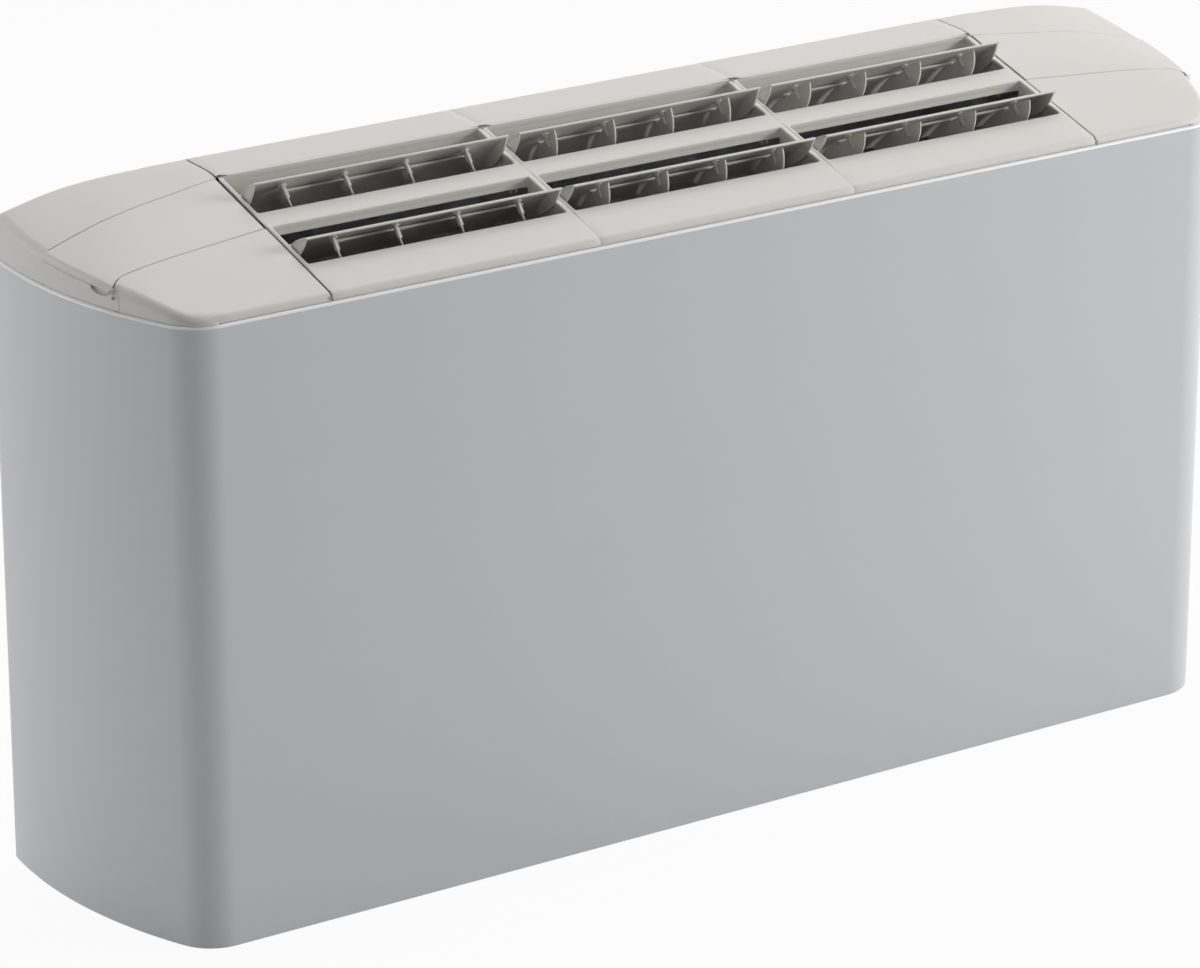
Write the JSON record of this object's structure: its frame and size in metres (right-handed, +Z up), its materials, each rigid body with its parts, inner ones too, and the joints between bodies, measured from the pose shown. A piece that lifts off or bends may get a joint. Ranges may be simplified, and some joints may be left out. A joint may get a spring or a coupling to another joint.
{
  "type": "fan coil unit",
  "caption": "Low fan coil unit: bent sheet cover with bowed sides and a sloping moulded head, whose tilting louvres and swivelling vanes steer the air from a coil and fans inside.",
  "frame": {"origin": "middle of the base, on the surface that the cover stands on", "axes": "+X across the width to the right, front towards -Y, back to the wall at +Y, +Z up"},
  "size_m": [0.9798, 0.22, 0.5257],
  "materials": {
    "cover_paint": "fine textured light grey powder coat",
    "head_plastic": "warm light grey moulded plastic, fine matt grain",
    "galvanised": "zinc coated sheet with faint spangle",
    "fin_aluminium": "mill finish",
    "copper": "drawn copper tube",
    "black_plastic": "matt black",
    "steel": "turned steel",
    "motor_grey": "dark painted",
    "control_plastic": "matt light grey"
  },
  "bodies": {
    "chassis": {"cabinet_cover": "cover_paint", "left_end_cap": "head_plastic", "right_end_cap": "head_plastic", "left_grille": "head_plastic", "middle_grille": "head_plastic", "right_grille": "head_plastic", "back_panel": "galvanised", "left_shoulder": "galvanised", "right_shoulder": "galvanised", "coil_fins": "fin_aluminium", "coil_tubes": "copper", "drain_pan": "black_plastic", "fan_deck": "galvanised", "fan_housings": "galvanised", "fan_motor": "motor_grey", "motor_cradle": "galvanised", "air_filter": "black_plastic", "control_box": "control_plastic", "screws": "steel"},
    "left_door": {"left_door": "head_plastic"},
    "right_door": {"right_door": "head_plastic"},
    "louvre_front_left": {"louvre_front_left": "head_plastic"},
    "vane_front_left_1": {"vane_front_left_1": "head_plastic"},
    "vane_front_left_2": {"vane_front_left_2": "head_plastic"},
    "vane_front_left_3": {"vane_front_left_3": "head_plastic"},
    "vane_front_left_4": {"vane_front_left_4": "head_plastic"},
    "tie_bar_front_left": {"tie_bar_front_left": "head_plastic"},
    "louvre_front_middle": {"louvre_front_middle": "head_plastic"},
    "vane_front_middle_1": {"vane_front_middle_1": "head_plastic"},
    "vane_front_middle_2": {"vane_front_middle_2": "head_plastic"},
    "vane_front_middle_3": {"vane_front_middle_3": "head_plastic"},
    "vane_front_middle_4": {"vane_front_middle_4": "head_plastic"},
    "tie_bar_front_middle": {"tie_bar_front_middle": "head_plastic"},
    "louvre_front_right": {"louvre_front_right": "head_plastic"},
    "vane_front_right_1": {"vane_front_right_1": "head_plastic"},
    "vane_front_right_2": {"vane_front_right_2": "head_plastic"},
    "vane_front_right_3": {"vane_front_right_3": "head_plastic"},
    "vane_front_right_4": {"vane_front_right_4": "head_plastic"},
    "tie_bar_front_right": {"tie_bar_front_right": "head_plastic"},
    "louvre_back_left": {"louvre_back_left": "head_plastic"},
    "vane_back_left_1": {"vane_back_left_1": "head_plastic"},
    "vane_back_left_2": {"vane_back_left_2": "head_plastic"},
    "vane_back_left_3": {"vane_back_left_3": "head_plastic"},
    "vane_back_left_4": {"vane_back_left_4": "head_plastic"},
    "tie_bar_back_left": {"tie_bar_back_left": "head_plastic"},
    "louvre_back_middle": {"louvre_back_middle": "head_plastic"},
    "vane_back_middle_1": {"vane_back_middle_1": "head_plastic"},
    "vane_back_middle_2": {"vane_back_middle_2": "head_plastic"},
    "vane_back_middle_3": {"vane_back_middle_3": "head_plastic"},
    "vane_back_middle_4": {"vane_back_middle_4": "head_plastic"},
    "tie_bar_back_middle": {"tie_bar_back_middle": "head_plastic"},
    "louvre_back_right": {"louvre_back_right": "head_plastic"},
    "vane_back_right_1": {"vane_back_right_1": "head_plastic"},
    "vane_back_right_2": {"vane_back_right_2": "head_plastic"},
    "vane_back_right_3": {"vane_back_right_3": "head_plastic"},
    "vane_back_right_4": {"vane_back_right_4": "head_plastic"},
    "tie_bar_back_right": {"tie_bar_back_right": "head_plastic"},
    "fan_rotor": {"fan_wheels": "black_plastic", "fan_shaft": "steel"},
    "control_knob": {"control_knob": "control_plastic"}
  },
  "joints": [
    {"name": "left_door_hinge", "type": "hinge", "parent": "chassis", "child": "left_door", "pos_m": [-0.3382, 0.01944, 0.50742], "axis": [0, 0.9703, 0.2419], "range_deg": [0, 88]},
    {"name": "right_door_hinge", "type": "hinge", "parent": "chassis", "child": "right_door", "pos_m": [0.3382, 0.01944, 0.50742], "axis": [0, -0.9703, -0.2419], "range_deg": [0, 88]},
    {"name": "louvre_front_left_tilt", "type": "hinge", "parent": "chassis", "child": "louvre_front_left", "pos_m": [-0.222, -0.04144, 0.49203], "axis": [1, 0, 0], "range_deg": [-33, 52]},
    {"name": "vane_front_left_1_swivel", "type": "hinge", "parent": "louvre_front_left", "child": "vane_front_left_1", "pos_m": [-0.2985, -0.04853, 0.49757], "axis": [0, 0.6157, 0.788], "range_deg": [-15, 75]},
    {"name": "vane_front_left_2_swivel", "type": "hinge", "parent": "louvre_front_left", "child": "vane_front_left_2", "pos_m": [-0.2475, -0.04853, 0.49757], "axis": [0, 0.6157, 0.788], "range_deg": [-15, 75]},
    {"name": "vane_front_left_3_swivel", "type": "hinge", "parent": "louvre_front_left", "child": "vane_front_left_3", "pos_m": [-0.1965, -0.04853, 0.49757], "axis": [0, 0.6157, 0.788], "range_deg": [-15, 75]},
    {"name": "vane_front_left_4_swivel", "type": "hinge", "parent": "louvre_front_left", "child": "vane_front_left_4", "pos_m": [-0.1455, -0.04853, 0.49757], "axis": [0, 0.6157, 0.788], "range_deg": [-15, 75]},
    {"name": "tie_bar_front_left_pivot", "type": "hinge", "parent": "vane_front_left_1", "child": "tie_bar_front_left", "pos_m": [-0.294, -0.04362, 0.4912], "axis": [0, 0.6157, 0.788], "range_deg": [-75, 15]},
    {"name": "louvre_front_middle_tilt", "type": "hinge", "parent": "chassis", "child": "louvre_front_middle", "pos_m": [0, -0.04144, 0.49203], "axis": [1, 0, 0], "range_deg": [-33, 52]},
    {"name": "vane_front_middle_1_swivel", "type": "hinge", "parent": "louvre_front_middle", "child": "vane_front_middle_1", "pos_m": [-0.0765, -0.04853, 0.49757], "axis": [0, 0.6157, 0.788], "range_deg": [-45, 45]},
    {"name": "vane_front_middle_2_swivel", "type": "hinge", "parent": "louvre_front_middle", "child": "vane_front_middle_2", "pos_m": [-0.0255, -0.04853, 0.49757], "axis": [0, 0.6157, 0.788], "range_deg": [-45, 45]},
    {"name": "vane_front_middle_3_swivel", "type": "hinge", "parent": "louvre_front_middle", "child": "vane_front_middle_3", "pos_m": [0.0255, -0.04853, 0.49757], "axis": [0, 0.6157, 0.788], "range_deg": [-45, 45]},
    {"name": "vane_front_middle_4_swivel", "type": "hinge", "parent": "louvre_front_middle", "child": "vane_front_middle_4", "pos_m": [0.0765, -0.04853, 0.49757], "axis": [0, 0.6157, 0.788], "range_deg": [-45, 45]},
    {"name": "tie_bar_front_middle_pivot", "type": "hinge", "parent": "vane_front_middle_1", "child": "tie_bar_front_middle", "pos_m": [-0.0765, -0.04267, 0.49046], "axis": [0, 0.6157, 0.788], "range_deg": [-45, 45]},
    {"name": "louvre_front_right_tilt", "type": "hinge", "parent": "chassis", "child": "louvre_front_right", "pos_m": [0.222, -0.04144, 0.49203], "axis": [1, 0, 0], "range_deg": [-33, 52]},
    {"name": "vane_front_right_1_swivel", "type": "hinge", "parent": "louvre_front_right", "child": "vane_front_right_1", "pos_m": [0.1455, -0.04853, 0.49757], "axis": [0, 0.6157, 0.788], "range_deg": [-70, 20]},
    {"name": "vane_front_right_2_swivel", "type": "hinge", "parent": "louvre_front_right", "child": "vane_front_right_2", "pos_m": [0.1965, -0.04853, 0.49757], "axis": [0, 0.6157, 0.788], "range_deg": [-70, 20]},
    {"name": "vane_front_right_3_swivel", "type": "hinge", "parent": "louvre_front_right", "child": "vane_front_right_3", "pos_m": [0.2475, -0.04853, 0.49757], "axis": [0, 0.6157, 0.788], "range_deg": [-70, 20]},
    {"name": "vane_front_right_4_swivel", "type": "hinge", "parent": "louvre_front_right", "child": "vane_front_right_4", "pos_m": [0.2985, -0.04853, 0.49757], "axis": [0, 0.6157, 0.788], "range_deg": [-70, 20]},
    {"name": "tie_bar_front_right_pivot", "type": "hinge", "parent": "vane_front_right_1", "child": "tie_bar_front_right", "pos_m": [0.1417, -0.04333, 0.49098], "axis": [0, 0.6157, 0.788], "range_deg": [-20, 70]},
    {"name": "louvre_back_left_tilt", "type": "hinge", "parent": "chassis", "child": "louvre_back_left", "pos_m": [-0.222, 0.02939, 0.5097], "axis": [1, 0, 0], "range_deg": [-25, 60]},
    {"name": "vane_back_left_1_swivel", "type": "hinge", "parent": "louvre_back_left", "child": "vane_back_left_1", "pos_m": [-0.2985, 0.02314, 0.51617], "axis": [0, 0.7193, 0.6947], "range_deg": [-15, 75]},
    {"name": "vane_back_left_2_swivel", "type": "hinge", "parent": "louvre_back_left", "child": "vane_back_left_2", "pos_m": [-0.2475, 0.02314, 0.51617], "axis": [0, 0.7193, 0.6947], "range_deg": [-15, 75]},
    {"name": "vane_back_left_3_swivel", "type": "hinge", "parent": "louvre_back_left", "child": "vane_back_left_3", "pos_m": [-0.1965, 0.02314, 0.51617], "axis": [0, 0.7193, 0.6947], "range_deg": [-15, 75]},
    {"name": "vane_back_left_4_swivel", "type": "hinge", "parent": "louvre_back_left", "child": "vane_back_left_4", "pos_m": [-0.1455, 0.02314, 0.51617], "axis": [0, 0.7193, 0.6947], "range_deg": [-15, 75]},
    {"name": "tie_bar_back_left_pivot", "type": "hinge", "parent": "vane_back_left_1", "child": "tie_bar_back_left", "pos_m": [-0.294, 0.02712, 0.50917], "axis": [0, 0.7193, 0.6947], "range_deg": [-75, 15]},
    {"name": "louvre_back_middle_tilt", "type": "hinge", "parent": "chassis", "child": "louvre_back_middle", "pos_m": [0, 0.02939, 0.5097], "axis": [1, 0, 0], "range_deg": [-25, 60]},
    {"name": "vane_back_middle_1_swivel", "type": "hinge", "parent": "louvre_back_middle", "child": "vane_back_middle_1", "pos_m": [-0.0765, 0.02314, 0.51617], "axis": [0, 0.7193, 0.6947], "range_deg": [-45, 45]},
    {"name": "vane_back_middle_2_swivel", "type": "hinge", "parent": "louvre_back_middle", "child": "vane_back_middle_2", "pos_m": [-0.0255, 0.02314, 0.51617], "axis": [0, 0.7193, 0.6947], "range_deg": [-45, 45]},
    {"name": "vane_back_middle_3_swivel", "type": "hinge", "parent": "louvre_back_middle", "child": "vane_back_middle_3", "pos_m": [0.0255, 0.02314, 0.51617], "axis": [0, 0.7193, 0.6947], "range_deg": [-45, 45]},
    {"name": "vane_back_middle_4_swivel", "type": "hinge", "parent": "louvre_back_middle", "child": "vane_back_middle_4", "pos_m": [0.0765, 0.02314, 0.51617], "axis": [0, 0.7193, 0.6947], "range_deg": [-45, 45]},
    {"name": "tie_bar_back_middle_pivot", "type": "hinge", "parent": "vane_back_middle_1", "child": "tie_bar_back_middle", "pos_m": [-0.0765, 0.02795, 0.50831], "axis": [0, 0.7193, 0.6947], "range_deg": [-45, 45]},
    {"name": "louvre_back_right_tilt", "type": "hinge", "parent": "chassis", "child": "louvre_back_right", "pos_m": [0.222, 0.02939, 0.5097], "axis": [1, 0, 0], "range_deg": [-25, 60]},
    {"name": "vane_back_right_1_swivel", "type": "hinge", "parent": "louvre_back_right", "child": "vane_back_right_1", "pos_m": [0.1455, 0.02314, 0.51617], "axis": [0, 0.7193, 0.6947], "range_deg": [-70, 20]},
    {"name": "vane_back_right_2_swivel", "type": "hinge", "parent": "louvre_back_right", "child": "vane_back_right_2", "pos_m": [0.1965, 0.02314, 0.51617], "axis": [0, 0.7193, 0.6947], "range_deg": [-70, 20]},
    {"name": "vane_back_right_3_swivel", "type": "hinge", "parent": "louvre_back_right", "child": "vane_back_right_3", "pos_m": [0.2475, 0.02314, 0.51617], "axis": [0, 0.7193, 0.6947], "range_deg": [-70, 20]},
    {"name": "vane_back_right_4_swivel", "type": "hinge", "parent": "louvre_back_right", "child": "vane_back_right_4", "pos_m": [0.2985, 0.02314, 0.51617], "axis": [0, 0.7193, 0.6947], "range_deg": [-70, 20]},
    {"name": "tie_bar_back_right_pivot", "type": "hinge", "parent": "vane_back_right_1", "child": "tie_bar_back_right", "pos_m": [0.1417, 0.02737, 0.50891], "axis": [0, 0.7193, 0.6947], "range_deg": [-20, 70]},
    {"name": "fan_spin", "type": "hinge", "parent": "chassis", "child": "fan_rotor", "pos_m": [0, 0, 0.106], "axis": [1, 0, 0], "continuous": true},
    {"name": "control_knob_turn", "type": "hinge", "parent": "chassis", "child": "control_knob", "pos_m": [0.392, 0, 0.458], "axis": [0, 0, 1], "range_deg": [-135, 135]}
  ],
  "couplings": [
    {"joint": "vane_front_left_2_swivel", "follows": "vane_front_left_1_swivel", "ratio": 1},
    {"joint": "vane_front_left_3_swivel", "follows": "vane_front_left_1_swivel", "ratio": 1},
    {"joint": "vane_front_left_4_swivel", "follows": "vane_front_left_1_swivel", "ratio": 1},
    {"joint": "tie_bar_front_left_pivot", "follows": "vane_front_left_1_swivel", "ratio": -1},
    {"joint": "vane_front_middle_2_swivel", "follows": "vane_front_middle_1_swivel", "ratio": 1},
    {"joint": "vane_front_middle_3_swivel", "follows": "vane_front_middle_1_swivel", "ratio": 1},
    {"joint": "vane_front_middle_4_swivel", "follows": "vane_front_middle_1_swivel", "ratio": 1},
    {"joint": "tie_bar_front_middle_pivot", "follows": "vane_front_middle_1_swivel", "ratio": -1},
    {"joint": "vane_front_right_2_swivel", "follows": "vane_front_right_1_swivel", "ratio": 1},
    {"joint": "vane_front_right_3_swivel", "follows": "vane_front_right_1_swivel", "ratio": 1},
    {"joint": "vane_front_right_4_swivel", "follows": "vane_front_right_1_swivel", "ratio": 1},
    {"joint": "tie_bar_front_right_pivot", "follows": "vane_front_right_1_swivel", "ratio": -1},
    {"joint": "vane_back_left_2_swivel", "follows": "vane_back_left_1_swivel", "ratio": 1},
    {"joint": "vane_back_left_3_swivel", "follows": "vane_back_left_1_swivel", "ratio": 1},
    {"joint": "vane_back_left_4_swivel", "follows": "vane_back_left_1_swivel", "ratio": 1},
    {"joint": "tie_bar_back_left_pivot", "follows": "vane_back_left_1_swivel", "ratio": -1},
    {"joint": "vane_back_middle_2_swivel", "follows": "vane_back_middle_1_swivel", "ratio": 1},
    {"joint": "vane_back_middle_3_swivel", "follows": "vane_back_middle_1_swivel", "ratio": 1},
    {"joint": "vane_back_middle_4_swivel", "follows": "vane_back_middle_1_swivel", "ratio": 1},
    {"joint": "tie_bar_back_middle_pivot", "follows": "vane_back_middle_1_swivel", "ratio": -1},
    {"joint": "vane_back_right_2_swivel", "follows": "vane_back_right_1_swivel", "ratio": 1},
    {"joint": "vane_back_right_3_swivel", "follows": "vane_back_right_1_swivel", "ratio": 1},
    {"joint": "vane_back_right_4_swivel", "follows": "vane_back_right_1_swivel", "ratio": 1},
    {"joint": "tie_bar_back_right_pivot", "follows": "vane_back_right_1_swivel", "ratio": -1}
  ]
}
